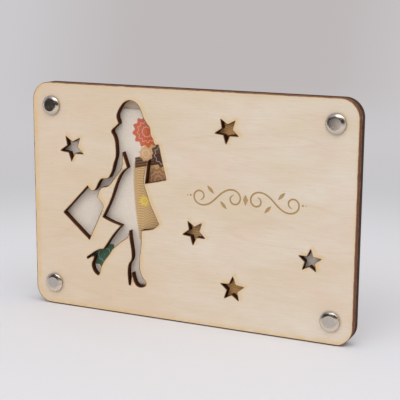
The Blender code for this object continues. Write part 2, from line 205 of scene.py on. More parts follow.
def smoothed(outline, step):
    """The outline with a cubic between neighbouring points, read off about every step.

    A smooth point's direction is the mean of its two chords, the shorter one counting more. A
    stretch that starts at a corner takes the mirror image of its other end's direction.
    """
    chord = np.roll(outline, -1, 0) - outline
    length = np.linalg.norm(chord, axis=1)[:, None]
    ahead = chord / length
    behind = np.roll(ahead, 1, 0)
    length_behind = np.roll(length, 1, 0)
    direction = unit(behind * length + ahead * length_behind)
    direction = np.where(length > STRAIGHT_RATIO * length_behind, ahead, direction)
    direction = np.where(length_behind > STRAIGHT_RATIO * length, behind, direction)
    corner = np.sum(ahead * behind, axis=1)[:, None] < math.cos(CORNER_TURN)
    corner_next = np.roll(corner, -1, 0)
    reach = np.roll(direction, -1, 0)
    mirrored_reach = 2 * np.sum(reach * ahead, axis=1)[:, None] * ahead - reach
    mirrored_leave = 2 * np.sum(direction * ahead, axis=1)[:, None] * ahead - direction
    leave = np.where(corner, np.where(corner_next, ahead, mirrored_reach), direction)
    arrive = np.where(corner_next, np.where(corner, ahead, mirrored_leave), reach)
    pieces = np.maximum(1, np.round(length[:, 0] / step)).astype(int)
    stretch = np.repeat(np.arange(len(outline)), pieces)
    first = np.repeat(np.cumsum(pieces) - pieces, pieces)
    t = ((np.arange(len(stretch)) - first) / pieces[stretch])[:, None]
    start = outline[stretch]
    end = np.roll(outline, -1, 0)[stretch]
    pull_out = (leave * length)[stretch]
    pull_in = (arrive * length)[stretch]
    return (
        (2 * t ** 3 - 3 * t ** 2 + 1) * start + (t ** 3 - 2 * t ** 2 + t) * pull_out
        + (3 * t ** 2 - 2 * t ** 3) * end + (t ** 3 - t ** 2) * pull_in
    )


# %% Mitres
# A mitre is lengthened by one over this at most
MITRE_FLOOR = 0.3


def into_wood(outline):
    """For each point, the way into the wood that moves both neighbouring edges by one.

    It is the mean of the two edge normals, lengthened by one over the cosine of half the turn,
    which is what a picture frame's mitre does at its corners.
    """
    ahead = unit(np.roll(outline, -1, 0) - outline)
    normal = np.column_stack([-ahead[:, 1], ahead[:, 0]])
    before = np.roll(normal, 1, 0)
    mitre = unit(normal + before)
    return mitre / np.maximum(np.sum(mitre * normal, axis=1), MITRE_FLOOR)[:, None]


# %% [markdown]
# ## Filling a face
# A flat face with holes is the one shape here that no sweep can give. Its outlines and a fine
# lattice of points between them are triangulated, and triangles that lie in a hole are dropped. The
# lattice carries a number at each point, the distance to the nearest cut, and the veneer's scorch
# marks are painted from that number later.

# %% Distances
# So many points at a time are compared with all the targets
CHUNK = 120


def nearest(points, targets):
    """The distance from each point to the nearest of the targets.

    The square of a difference is both squares less twice the product, so one matrix product of
    points with targets does the long part of the sum.
    """
    squares = (targets ** 2).sum(1) / 2
    parts = np.array_split(points, max(1, len(points) // CHUNK))
    closest = np.concatenate([(squares - part @ targets.T).argmin(1) for part in parts])
    return np.linalg.norm(points - targets[closest], axis=1)


def inside(points, outlines):
    """Whether each point is in the wood: a ray to the right meets the outlines an odd number of times.

    Points at the same height share their crossings, so a row of a lattice costs as much as a point.
    """
    start = np.concatenate(outlines)
    end = np.concatenate([np.roll(outline, -1, 0) for outline in outlines])
    order = np.argsort(points[:, 1])
    heights, first = np.unique(points[order, 1], return_index=True)
    answers = np.empty(len(points), bool)
    for height, level in zip(heights, np.split(order, first[1:])):
        spans = (start[:, 1] > height) != (end[:, 1] > height)
        low, high = start[spans], end[spans]
        meets = low[:, 0] + (height - low[:, 1]) / (high[:, 1] - low[:, 1]) * (high[:, 0] - low[:, 0])
        passed = np.searchsorted(np.sort(meets), points[level, 0], side="right")
        answers[level] = (len(meets) - passed) % 2 == 1
    return answers


# %% Fills
# A triangle with less area than this is left out
SLIVER = 2e-5 * MM ** 2
# The triangulation works in mm. Points closer than this are one, and its output type 0 fills holes too
MERGE_DISTANCE = 1e-7
WHOLE_HULL = 0


def fill(outlines, lattice):
    """Triangles between the outlines, counted in the outlines' points and then the lattice's.

    Points on a straight run can make a triangle with next to no area, and that is left out.
    """
    edge_points = np.concatenate(outlines)
    points = np.concatenate([edge_points, lattice])
    last = np.cumsum([len(outline) for outline in outlines])
    numbers = np.arange(len(edge_points))
    following = numbers + 1
    following[last - 1] = last - [len(outline) for outline in outlines]
    _, _, faces, sources, _, _ = delaunay_2d_cdt(
        [Vector(point) for point in points / MM], list(zip(numbers.tolist(), following.tolist())),
        [], WHOLE_HULL, MERGE_DISTANCE, True,
    )
    original = np.array([source[0] if source else -1 for source in sources])
    triangles = original[np.array(faces)]
    triangles = triangles[(triangles >= 0).all(1)]
    first, second, third = points[triangles].transpose(1, 0, 2)
    ahead, aside = second - first, third - first
    triangles = triangles[ahead[:, 0] * aside[:, 1] - ahead[:, 1] * aside[:, 0] > SLIVER]
    between_edges = (triangles < len(edge_points)).all(1)
    keep = np.ones(len(triangles), bool)
    keep[between_edges] = inside(points[triangles[between_edges]].mean(1), outlines)
    return triangles[keep]


# %% [markdown]
# ## A sheet from its outlines
# A sheet's wall is a profile carried along each outline: a tiny rounding at the front edge, the
# wall through the thickness, and a rounding at the back edge. An engraved line has the same kind of
# wall, but it stops a fraction of a millimetre down, at a floor. Faces close the sheet front and
# back. Every point carries marks for the material: how far it is from the nearest cut, how far a
# cut's smoke had to drift to reach it, and whether it is on a burnt wall, on the outer edge or in
# the engraving. The laser's air stream blew the smoke a little to the right and up, and the bloom
# beside the inner cuts is narrower than along the rim.

# %% Walls
EDGE_ROUNDING = 0.07 * MM
ROUNDING_STEPS = 3
# A spike is a corner that turns more than this, and the rounding comes back over the length beside it
SPIKE_TURN = math.radians(150)
SPIKE_LENGTH = 1.0 * MM


def edge_rounding(depth, inward):
    """Rows of (inset, depth) that round an edge off: a quarter circle from the face to the wall."""
    angles = np.linspace(0, math.pi / 2, ROUNDING_STEPS + 1)
    inset = EDGE_ROUNDING * (1 - np.sin(angles))
    return np.column_stack([inset, depth + inward * EDGE_ROUNDING * (1 - np.cos(angles))])


def rounding_room(outline):
    """The share of the rounding that fits at each point.

    It is the distance to the nearest spike's tip over the spike's length, and 1 at most.
    """
    ahead = unit(np.roll(outline, -1, 0) - outline)
    spike = np.sum(ahead * np.roll(ahead, 1, 0), axis=1) < math.cos(SPIKE_TURN)
    if not spike.any():
        return np.ones(len(outline))
    return np.minimum(1, nearest(outline, outline[spike]) / SPIKE_LENGTH)


def swept_wall(outline, profile, first):
    """Points, quads and point numbers of a profile of (inset, depth) rows carried along an outline."""
    inset = profile[:, 0][:, None] * rounding_room(outline)
    flat = outline[None] + into_wood(outline)[None] * inset[:, :, None]
    depth = np.broadcast_to(profile[:, 1][:, None, None], flat.shape[:2] + (1,))
    points = np.concatenate([flat[:, :, :1], depth, flat[:, :, 1:]], axis=2).reshape(-1, 3)
    number = first + np.arange(len(points)).reshape(len(profile), len(outline))
    beyond = np.roll(number, -1, 1)
    quads = np.stack([number[:-1], number[1:], beyond[1:], beyond[:-1]], axis=2)
    return points, quads.reshape(-1, 4), number


# %% Lattices
LATTICE_STEP = 0.75 * MM
RIM_DISTANCE = 0.3 * MM
# Points of the rim and of the lattice keep so far away from every outline
RIM_CLEARANCE = 0.85 * RIM_DISTANCE
LATTICE_CLEARANCE = 2 * RIM_DISTANCE


def lattice_between(outlines):
    """Points in the wood: a rim close beside every outline, and a square lattice further away."""
    edge = np.concatenate(outlines)
    rim = np.concatenate([outline + into_wood(outline) * RIM_DISTANCE for outline in outlines])
    steps = [np.arange(low, high, LATTICE_STEP) for low, high in zip(edge.min(0), edge.max(0))]
    grid = np.stack(np.meshgrid(*steps), axis=2).reshape(-1, 2)
    kept = []
    for points, clearance in ((rim, RIM_CLEARANCE), (grid, LATTICE_CLEARANCE)):
        points = points[inside(points, outlines)]
        kept.append(points[nearest(points, edge) > clearance])
    return np.concatenate(kept)


# %% Distances as marks
# How far the smoke drifted, and how much narrower its bloom is beside the inner cuts
SMOKE_DRIFT = (0.9 * MM, 0.6 * MM)
INNER_SMOKE = 1.5


def give_numbers(mesh, name, values):
    """Store one number at each point of a mesh, for its material to read."""
    mesh.attributes.new(name, "FLOAT", "POINT").data.foreach_set("value", values.astype(np.float32))


def mark_distances(mesh, points, through):
    """Mark each point with its distance in mm to the nearest cut, with and without the smoke's drift."""
    flat, inner_cuts = points[:, (0, 2)], np.concatenate(through[1:])
    to_cut = np.minimum(nearest(flat, through[0]), nearest(flat, inner_cuts))
    drifted = flat - SMOKE_DRIFT
    to_smoke = np.minimum(nearest(drifted, through[0]), nearest(drifted, inner_cuts) * INNER_SMOKE)
    give_numbers(mesh, "cut_distance", to_cut / MM)
    give_numbers(mesh, "smoke_distance", to_smoke / MM)


# %% Sheet maker
MARK_NAMES = ("on_wall", "outer_edge", "engraved")
ON_WALL, OUTER_EDGE, ENGRAVED = range(len(MARK_NAMES))


def make_sheet(name, through, engraved, front, back, engraving_depth=0.0):
    """One plywood sheet between two depths, as a closed mesh with its marks as attributes."""
    near, far = edge_rounding(front, 1), edge_rounding(back, -1)[::-1]
    wall = np.concatenate([near, far])
    shallow = np.concatenate([near, [[0, front + engraving_depth]]])
    points, marks, faces = [], [], []
    # Each flat face: the rows of its outlines, its depth and the way it faces
    front_face, back_face, floors = ([], front, 1), ([], back, -1), []
    total = 0
    for place, outline in enumerate(through + engraved):
        cut_through = place < len(through)
        made, quads, number = swept_wall(outline, wall if cut_through else shallow, total)
        mark = np.zeros(number.shape + (len(MARK_NAMES),))
        front_face[0].append(number[0])
        if cut_through:
            mark[1:-1, :, ON_WALL] = 1
            mark[:, :, OUTER_EDGE] = place == 0
            back_face[0].append(number[-1])
        else:
            mark[1:, :, ENGRAVED] = 1
            floors.append(([number[-1]], front + engraving_depth, 1))
        points.append(made)
        marks.append(mark.reshape(-1, len(MARK_NAMES)))
        faces.append(quads)
        total += len(made)
    swept = np.concatenate(points)
    for rows, depth, order in [front_face, back_face] + floors:
        lines = [swept[row][:, (0, 2)] for row in rows]
        lattice = lattice_between(lines) if len(rows) > 1 else np.empty((0, 2))
        number = np.concatenate(rows + [total + np.arange(len(lattice))])
        points.append(np.insert(lattice, 1, depth, axis=1))
        marks.append(np.zeros((len(lattice), len(MARK_NAMES))))
        faces.append(number[fill(lines, lattice)][:, ::order])
        total += len(lattice)
    points, marks = np.concatenate(points), np.concatenate(marks)
    mesh = bpy.data.meshes.new(name)
    mesh.from_pydata(points.tolist(), [], [face for group in faces for face in group.tolist()])
    mark_distances(mesh, points, through)
    for column, mark_name in enumerate(MARK_NAMES):
        give_numbers(mesh, mark_name, marks[:, column])
    print(name, "has", len(points), "points and", len(mesh.polygons), "faces")
    return mesh


# %% [markdown]
# ## Birch plywood, cut by a laser
# Birch veneer is one of the plainest woods: a warm cream with fine dashes of pores along the grain,
# cloudy bands a little pinker or yellower, and a faint contour where the peeling knife crossed a
# year ring. It could be one image stretched over the sheet, but here each of these is a noise of its
# own real size, and the tints are laid over each other like glazes. The laser leaves three more
# marks: a hairline of brown along each cut, a yellow bloom of smoke a couple of millimetres wide,
# and walls charred dark, where the three plies and their glue lines just show.

# %% Veneer noises
# Each noise has its features' length along the grain, their width across it and their depth, in mm
VENEER_NOISES = {
    "clouds": (42, 11, 11),
    "blushes": (21, 14, 22),
    "grain": (7, 0.45, 0.45),
    "pores": (2.6, 0.32, 0.32),
    "rings": (150, 26, 30),
    "soot": (3.5, 3.5, 3.5),
    "stripes": (0.35, 0.35, 4),
}
# So many contour lines lie between the ring noise's 0 and 1
RINGS_PER_SPREAD = 3.5


def veneer_noises(tree, seed):
    """The noises of a veneer by name, each stretched to its own size and shifted by the seed."""
    place = add_node(tree, "TexCoord", {}, give="Object")
    found = {}
    for name, (along, across, thick) in VENEER_NOISES.items():
        scale = (1 / (along * MM), 1 / (thick * MM), 1 / (across * MM))
        spaced = add_node(tree, "Mapping", {"Vector": place, "Location": (seed,) * 3, "Scale": scale})
        found[name] = add_node(tree, "TexNoise", {"Vector": spaced, "Scale": 1.0, "Detail": 2.0})
    return found


# %% Burnt walls of the plywood
# The ramp's length, from the middle of the card outwards, and the share of it that the plies fray by
PLY_SPAN = 4.0 * MM
PLY_FRAY = 0.05
GLUE_LINE = "2E1C12"
CHAR_STRIPE = "2B1A10"
# Inner walls are darkened towards this colour: partly soot, partly painted shade of the narrow openings
SOOT_AND_SHADE = "3A1500"
SOOT_AND_SHADE_SHARE = 0.8


def burnt_wall(tree, noises, ply, core):
    """Charred plies: a ramp over the distance from the middle of the card, frayed by fine stripes.

    Glue lines are nearly black. Inner walls are darker than the outer edge: partly soot, partly painted shade
    of the narrow openings.
    """
    place = add_node(tree, "TexCoord", {}, give="Object")
    depth = add_node(tree, "SeparateXYZ", {0: place}, give="Y")
    level = add_node(tree, "Math", {0: depth}, operation="ABSOLUTE")
    frayed = add_node(tree, "Math", {0: noises["stripes"], 1: PLY_FRAY, 2: -PLY_FRAY / 2},
                      operation="MULTIPLY_ADD")
    share = add_node(tree, "Math", {0: level, 1: 1 / PLY_SPAN, 2: frayed}, operation="MULTIPLY_ADD")
    plies = add_node(tree, "ValToRGB", {"Fac": share}, stops=(
        (0.10, linear(core)), (0.30, linear(ply)), (0.335, linear(GLUE_LINE)), (0.36, linear(core)),
        (0.56, linear(core)), (0.59, linear(GLUE_LINE)), (0.615, linear(ply)), (0.82, linear(ply)),
    ))
    stripe = add_node(tree, "MapRange", {0: noises["stripes"], 1: 0.35, 2: 0.7, 3: 0.0, 4: 0.55})
    streaked = add_node(tree, "Mix", {0: stripe, 6: plies, 7: linear(CHAR_STRIPE)}, give=2, data_type="RGBA")
    sooty_and_shaded = add_node(tree, "Mix", {0: SOOT_AND_SHADE_SHARE, 6: streaked, 7: linear(SOOT_AND_SHADE)}, give=2, data_type="RGBA")
    outer = add_node(tree, "Attribute", {}, give="Fac", attribute_name="outer_edge")
    return add_node(tree, "Mix", {0: outer, 6: sooty_and_shaded, 7: streaked}, give=2, data_type="RGBA")


# %% Scorch marks on the veneer
# How far the smoke's bloom reaches, in mm, and its share at the cut
SMOKE_REACH = 2.7
SMOKE_SHARE = 0.72


def scorch(tree, soot):
    """The share of smoke at a point, in patches, and its distance to the nearest cut, frayed by soot."""
    to_cut = add_node(tree, "Attribute", {}, give="Fac", attribute_name="cut_distance")
    to_smoke = add_node(tree, "Attribute", {}, give="Fac", attribute_name="smoke_distance")
    patches = add_node(tree, "MapRange", {0: soot, 1: 0.3, 2: 0.62, 3: 0.3, 4: 1.0})
    bloom = add_node(
        tree, "MapRange", {0: to_smoke, 1: 0.0, 2: SMOKE_REACH, 3: SMOKE_SHARE, 4: 0.0},
        interpolation_type="SMOOTHSTEP",
    )
    patchy_smoke = add_node(tree, "Math", {0: bloom, 1: patches}, operation="MULTIPLY")
    return patchy_smoke, add_node(tree, "Math", {0: soot, 1: 0.5, 2: to_cut}, operation="MULTIPLY_ADD")


# %% Birch plywood material
# Sanded veneer is rougher where its grain is dark
BIRCH_ROUGHNESS = (0.55, 0.72)
# Veneer has a faint sheen, and char has next to none
VENEER_SHEEN = 0.25
CHAR_SHEEN = 0.05
BIRCH_RELIEF = 0.03 * MM


def birch_plywood(name, seed, face, cloud, blush, ply, core):
    """Pale veneer, scorched at its cuts. Face, cloud and blush tint it, ply and core its burnt walls."""
    material, tree, shader = new_material(name)
    noises = veneer_noises(tree, seed)
    patchy_smoke, frayed = scorch(tree, noises["soot"])
    on_wall = add_node(tree, "Attribute", {}, give="Fac", attribute_name="on_wall")
    engraved = add_node(tree, "Attribute", {}, give="Fac", attribute_name="engraved")
    # A contour line is where the ring noise, counted up in rings, passes a half
    rings = add_node(tree, "Math", {0: noises["rings"], 1: RINGS_PER_SPREAD}, operation="MULTIPLY")
    off_ring = add_node(tree, "Math", {0: rings, 1: 0.5}, operation="PINGPONG")
    # The veneer is pinker towards its left end, and along its bottom edge a wider dark band is partly char
    # and partly painted contact shadow
    place = add_node(tree, "TexCoord", {}, give="Object")
    height = add_node(tree, "SeparateXYZ", {0: place}, give="Z")
    across = add_node(tree, "SeparateXYZ", {0: place}, give="X")
    # Each glaze: the number that drives it, the limits it goes between, its shares there and its tint
    glazes = (
        # Cloudy bands, blushes and the pinker left end
        (noises["clouds"], 0.35, 0.65, 0.0, 1.0, linear(cloud)),
        (noises["blushes"], 0.5, 0.72, 0.0, 0.55, linear(blush)),
        (across, -70 * MM, 45 * MM, 0.4, 0.0, linear("DABD9C")),
        # Grain, contour lines and pores
        (noises["grain"], 0.3, 0.72, 0.0, 0.29, linear("CBB394")),
        (off_ring, 0.0, 0.06, 0.14, 0.0, linear("CFA488")),
        (noises["pores"], 0.66, 0.76, 0.0, 0.3, linear("B89872")),
        # The smoke's bloom, the hairline along each cut, and the bottom edge's band of char and painted
        # contact shadow
        (patchy_smoke, 0.0, 1.0, 0.0, 1.0, linear("DAB87F")),
        (frayed, 0.33, 0.68, 0.95, 0.0, linear("573519")),
        (height, 0.45 * MM, 0.65 * MM, 0.95, 0.0, linear("3E2B1A")),
        # The engraving and the burnt walls
        (engraved, 0.0, 1.0, 0.0, 1.0, linear("B59464")),
        (on_wall, 0.0, 1.0, 0.0, 1.0, burnt_wall(tree, noises, ply, core)),
    )
    colour = linear(face)
    for driver, low, high, share_low, share_high, tint in glazes:
        share = add_node(tree, "MapRange", {0: driver, 1: low, 2: high, 3: share_low, 4: share_high})
        colour = add_node(tree, "Mix", {0: share, 6: colour, 7: tint}, give=2, data_type="RGBA")
    tree.links.new(colour, shader.inputs["Base Color"])
    smooth, rough = BIRCH_ROUGHNESS
    roughness = add_node(tree, "MapRange", {0: noises["grain"], 1: 0.2, 2: 0.8, 3: smooth, 4: rough})
    tree.links.new(roughness, shader.inputs["Roughness"])
    sheen = add_node(tree, "MapRange", {0: on_wall, 1: 0.0, 2: 1.0, 3: VENEER_SHEEN, 4: CHAR_SHEEN})
    tree.links.new(sheen, shader.inputs["Specular IOR Level"])
    relief = add_node(tree, "Math", {0: noises["pores"], 1: -0.6, 2: noises["grain"]},
                      operation="MULTIPLY_ADD")
    bump = add_node(tree, "Bump", {"Height": relief, "Strength": 0.5, "Distance": BIRCH_RELIEF})
    tree.links.new(bump, shader.inputs["Normal"])
    return material


front_birch = birch_plywood(
    "birch_plywood_front", 3.7, face="E0D4C5", cloud="DACAB3", blush="DFC6B4", ply="9E694D", core="7A4D3A",
)
back_birch = birch_plywood(
    "birch_plywood_back", 11.2, face="DDCEBA", cloud="D7C4A9", blush="DEC4AF", ply="573F30", core="46352A",
)
for plywood in (front_birch, back_birch):
    print(plywood.name, "has", len(plywood.node_tree.nodes), "nodes")

# %% [markdown]
# ## The two sheets
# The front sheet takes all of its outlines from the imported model: those that reach its back face
# are cut through, and the rest are engraved. The back sheet is plain but for its screw holes.

# %% Put a finished mesh in the scene
SHARP_TURN = math.radians(35)


def place_piece(mesh, material, body, node):
    """Shade a mesh smooth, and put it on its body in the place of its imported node."""
    mesh.materials.append(material)
    mesh.shade_smooth()
    mesh.set_sharp_from_angle(angle=SHARP_TURN)
    piece = bpy.data.objects.new(mesh.name, mesh)
    bpy.context.scene.collection.objects.link(piece)
    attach(piece, body)
    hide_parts(node)
    return piece


# %% Front sheet
# The spacing of points along a cut
CURVE_STEP = 0.28 * MM


def widest_first(outlines):
    """Outlines by width, the sheet's own first."""
    return sorted(outlines, key=lambda outline: -np.ptp(outline[:, 0]))


# From front to back, its flat faces are the front, the engraving's floor and the back
front_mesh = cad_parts["front_plate"].data
front_depths = np.unique(np.round(welded(front_mesh)[0][:, 1] / SAME_POINT)) * SAME_POINT
engraving_depth = front_depths[1] - front_depths[0]
on_back = np.concatenate(outlines_of(front_mesh, front_high.y))
through = widest_first(cut for cut in front_cuts if nearest(cut, on_back).max() < SAME_POINT)
engraved = [cut for cut in front_cuts if nearest(cut, on_back).max() >= SAME_POINT]
print(len(through), "outlines cut through")
print(len(engraved), "outlines engraved", round(engraving_depth / MM, 2), "mm deep")

front_sheet = make_sheet(
    "front_sheet", [smoothed(cut, CURVE_STEP) for cut in through],
    [smoothed(cut, CURVE_STEP) for cut in engraved], front_low.y, front_high.y, engraving_depth,
)
place_piece(front_sheet, front_birch, "front", "front_plate")

# %% Back sheet
back_cuts = widest_first(outlines_of(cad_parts["back_plate"].data, back_low.y))
back_sheet = make_sheet(
    "back_sheet", [smoothed(cut, CURVE_STEP) for cut in back_cuts], [], back_low.y, back_high.y,
)
place_piece(back_sheet, back_birch, "back", "back_plate")

# %% [markdown]
# ## Printed paper
# The note is ordinary printed paper with the look of a gift voucher: a pale grey ground, a tan field
# of fine waving lines, ribbons of colour and flower-like rosettes. It is uncoated, so it has next to
# no shine and its fibres just show. Machine-made rosettes like these come from a circle whose radius
# swings in and out as the pen goes round, so a formula draws them better than any image: the
# distance from the middle, divided by that swing, gives the rings. Real printed lines are finer,
# but these are drawn as coarse as they need to be to show.

# %% Inks
PAPER_WHITE = "E4DACC"
FIELD_LEFT = -24.6
# Ribbons: ink, upright or not, place, slope, swing, wavelength and half width, in mm
RIBBONS = (
    ("4E2B19", False, 74.2, 0.30, 0.6, 38.0, 2.3),
    ("C98B3C", True, 34.0, 0.12, 2.0, 30.0, 0.9),
    ("57707C", True, 47.5, -0.06, 1.4, 24.0, 1.4),
)
# Rosettes: ink, middle across and up, radius, petals and ring pitch, in mm
ROSETTES = (
    ("56382F", -12.3, 71.4, 5.2, 10, 3.6),
    ("CFA47A", -20.2, 71.4, 3.2, 9, 1.6),
    ("C6552E", -19.8, 80.8, 6.4, 12, 2.1),
    ("DDBB4A", -20.9, 50.8, 2.5, 8, 1.3),
    ("0A5A3E", -41.0, 25.0, 6.2, 10, 3.1),
    ("A8744C", -14.2, 60.6, 5.2, 10, 1.7),
    ("8A7A86", 45.0, 66.0, 9.0, 16, 2.2),
    ("B98A4E", 12.0, 62.0, 10.0, 14, 2.0),
)


def ink_over(tree, ground, ink, strength, driver, low, high):
    """Ink laid over a ground where the driver is below a limit, fading out up to a higher one."""
    share = add_node(tree, "MapRange", {0: driver, 1: low, 2: high, 3: strength, 4: 0.0})
    return add_node(tree, "Mix", {0: share, 6: ground, 7: ink}, give=2, data_type="RGBA")


def swinging(tree, along, swing, wavelength, rise=0.0):
    """A sine of that swing and wavelength along a direction, plus a rise."""
    phase = add_node(tree, "Math", {0: along, 1: math.tau / wavelength}, operation="MULTIPLY")
    sine = add_node(tree, "Math", {0: phase}, operation="SINE")
    return add_node(tree, "Math", {0: sine, 1: swing, 2: rise}, operation="MULTIPLY_ADD")


# %% Ribbons
# Ribbons start a little to the left of the tan field, and have so many hairlines on each side
RIBBON_LEFT = FIELD_LEFT - 1.3
HAIRLINES = 4
# Added to a distance where no ink is wanted, in mm
FAR_OUT = 99.0
# The share of the paper that a ribbon hides, and that a hairline gives back
RIBBON_INK = 0.92
HAIRLINE_PAPER = 0.14


def print_ribbon(tree, ground, across, up, ribbon):
    """A band whose middle line slopes and swings, with hairlines left white inside it."""
    ink, upright, start, slope, swing, wavelength, half_width = ribbon
    along, beside = (up, across) if upright else (across, up)
    rise = add_node(tree, "Math", {0: along, 1: slope, 2: start}, operation="MULTIPLY_ADD")
    middle = swinging(tree, along, swing, wavelength, rise)
    offset = add_node(tree, "Math", {0: beside, 1: middle}, operation="SUBTRACT")
    off = add_node(tree, "Math", {0: offset}, operation="ABSOLUTE")
    left_out = add_node(
        tree, "MapRange", {0: across, 1: RIBBON_LEFT + 0.5, 2: RIBBON_LEFT, 3: 0.0, 4: FAR_OUT},
    )
    driver = add_node(tree, "Math", {0: off, 1: left_out}, operation="ADD")
    colour = ink_over(tree, ground, linear(ink), RIBBON_INK, driver, half_width - 0.15, half_width + 0.1)
    hairline = add_node(tree, "Math", {0: off, 1: half_width / HAIRLINES}, operation="PINGPONG")
    past_edge = add_node(tree, "Math", {0: driver, 1: half_width - 0.4}, operation="GREATER_THAN")
    driver = add_node(tree, "Math", {0: hairline, 1: past_edge}, operation="ADD")
    return ink_over(tree, colour, linear(PAPER_WHITE), HAIRLINE_PAPER, driver, 0.05, 0.2)


# %% Rosettes
# The share of its radius that a rosette's petals swing by, and the paper's tint in its rings
PETAL_SWING = 0.09
RING_WHITE = "EADFD2"
# The share of the paper that a rosette hides, and that its rings give back
ROSETTE_INK = 0.9
RING_PAPER = 0.42


def print_rosette(tree, ground, across, up, rosette):
    """A flower of rings: the distance from its middle over a circle that swings once for each petal."""
    ink, middle_across, middle_up, radius, petals, pitch = rosette
    dx = add_node(tree, "Math", {0: across, 1: middle_across}, operation="SUBTRACT")
    dz = add_node(tree, "Math", {0: up, 1: middle_up}, operation="SUBTRACT")
    arm = add_node(tree, "CombineXYZ", {"X": dx, "Y": dz})
    reach = add_node(tree, "VectorMath", {0: arm}, give="Value", operation="LENGTH")
    heading = add_node(tree, "Math", {0: dz, 1: dx}, operation="ARCTAN2")
    petal = swinging(tree, heading, PETAL_SWING, math.tau / petals, 1.0)
    ring = add_node(tree, "Math", {0: reach, 1: petal}, operation="DIVIDE")
    colour = ink_over(tree, ground, linear(ink), ROSETTE_INK, ring, radius - 0.2, radius + 0.1)
    off_ring = add_node(tree, "Math", {0: ring, 1: pitch / 2}, operation="PINGPONG")
    outside = add_node(tree, "Math", {0: ring, 1: radius - 0.3}, operation="GREATER_THAN")
    driver = add_node(tree, "Math", {0: off_ring, 1: outside}, operation="ADD")
    return ink_over(tree, colour, linear(RING_WHITE), RING_PAPER, driver, 0.06, 0.26)


# %% Tan field
# The tan field steps in at both ends: where a step starts and ends, going up, and its width, in mm
FIELD_STEPS = ((67.0, 72.0, 4.0), (34.0, 28.0, 8.0))
# In mm, its left edge's swing, wavelength and softness, and its lines' swing, wavelength and pitch
EDGE_SWING, EDGE_WAVE, EDGE_BLUR = -1.9, 80.0, 0.8
LINE_SWING, LINE_WAVE, LINE_PITCH = 1.3, 13.0, 1.1
# The ink turns from tan to golden between two places across, and the field ends between two others
TURN_TO_GOLDEN = (-15.0, 22.0)
FIELD_END = (24.0, 44.0)
TAN_INK = "D0AA76"
GOLDEN_INK = "DDA45E"
LINE_INK = "93703A"
# The share of the paper that the field hides, and that its lines hide outside and inside it
FIELD_INK = 0.9
LINES_OUTSIDE, LINES_INSIDE = 0.04, 0.4


def print_field(tree, ground, across, up):
    """A field of waved lines, from its waving, stepping left edge to where it fades out at the right.

    Its two sets of lines swing against each other, so that they cross.
    """
    right_of_step = across
    for start, end, width in FIELD_STEPS:
        stepped = add_node(tree, "MapRange", {0: up, 1: start, 2: end, 3: 0.0, 4: width})
        right_of_step = add_node(tree, "Math", {0: right_of_step, 1: stepped}, operation="SUBTRACT")
    right_of_edge = swinging(tree, up, EDGE_SWING, EDGE_WAVE, right_of_step)
    covered = add_node(
        tree, "MapRange", {0: right_of_edge, 1: FIELD_LEFT, 2: FIELD_LEFT + EDGE_BLUR, 3: 0.0, 4: 1.0},
    )
    fading = add_node(tree, "MapRange", {0: across, 1: FIELD_END[0], 2: FIELD_END[1], 3: 1.0, 4: 0.0})
    field = add_node(tree, "Math", {0: covered, 1: fading}, operation="MULTIPLY")
    hidden = add_node(tree, "Math", {0: field, 1: FIELD_INK}, operation="MULTIPLY")
    golden = add_node(
        tree, "MapRange", {0: across, 1: TURN_TO_GOLDEN[0], 2: TURN_TO_GOLDEN[1], 3: 0.0, 4: 1.0},
    )
    inks = {0: golden, 6: linear(TAN_INK), 7: linear(GOLDEN_INK)}
    ink = add_node(tree, "Mix", inks, give=2, data_type="RGBA")
    colour = add_node(tree, "Mix", {0: hidden, 6: ground, 7: ink}, give=2, data_type="RGBA")
    strength = add_node(tree, "MapRange", {0: field, 1: 0.0, 2: 1.0, 3: LINES_OUTSIDE, 4: LINES_INSIDE})
    for swing in (LINE_SWING, -LINE_SWING):
        row = swinging(tree, across, swing, LINE_WAVE, up)
        off_line = add_node(tree, "Math", {0: row, 1: LINE_PITCH / 2}, operation="PINGPONG")
        stroke = add_node(tree, "MapRange", {0: off_line, 1: 0.08, 2: 0.26, 3: strength, 4: 0.0})
        colour = add_node(tree, "Mix", {0: stroke, 6: colour, 7: linear(LINE_INK)}, give=2, data_type="RGBA")
    return colour


# %% Paper material
PAPER_SHADE = "DACDC0"
PAPER_FIBRE = 0.6 * MM
PAPER_RELIEF = 0.02 * MM


def printed_paper():
    """Uncoated paper, printed with a field of waves, ribbons and rosettes."""
    material, tree, shader = new_material("uncoated_printed_paper", Roughness=0.82, Specular_IOR_Level=0.2)
    place = add_node(tree, "TexCoord", {}, give="Object")
    in_mm = add_node(tree, "VectorMath", {0: place, "Scale": 1 / MM}, operation="SCALE")
    across = add_node(tree, "SeparateXYZ", {0: in_mm}, give="X")
    up = add_node(tree, "SeparateXYZ", {0: in_mm}, give="Z")
    fibres = add_node(tree, "TexNoise", {"Vector": place, "Scale": 1 / PAPER_FIBRE, "Detail": 3.0})
    colour = ink_over(tree, linear(PAPER_WHITE), linear(PAPER_SHADE), 1.0, fibres, 0.3, 0.7)
    colour = print_field(tree, colour, across, up)
    for ribbon in RIBBONS:
        colour = print_ribbon(tree, colour, across, up, ribbon)
    for rosette in ROSETTES:
        colour = print_rosette(tree, colour, across, up, rosette)
    tree.links.new(colour, shader.inputs["Base Color"])
    bump = add_node(tree, "Bump", {"Height": fibres, "Strength": 0.3, "Distance": PAPER_RELIEF})
    tree.links.new(bump, shader.inputs["Normal"])
    print("paper printed with", len(RIBBONS), "ribbons and", len(ROSETTES), "rosettes")
    return material


# %% [markdown]
# ## The folded note
# The note is a sheet with a path: along the front leaf, round a fold and back along a short flap.
# Its surface is a function of two numbers, the way along that path and the height, with a shallow
# ripple, as paper that has been in a pocket has. Solidify then gives the sheet its thickness.

# %% Folded note
PAPER_THICKNESS = 0.09 * MM
NOTE_STEP = 1.0 * MM
NOTE_FLAP = 17 * MM
FOLD_STEPS = 8
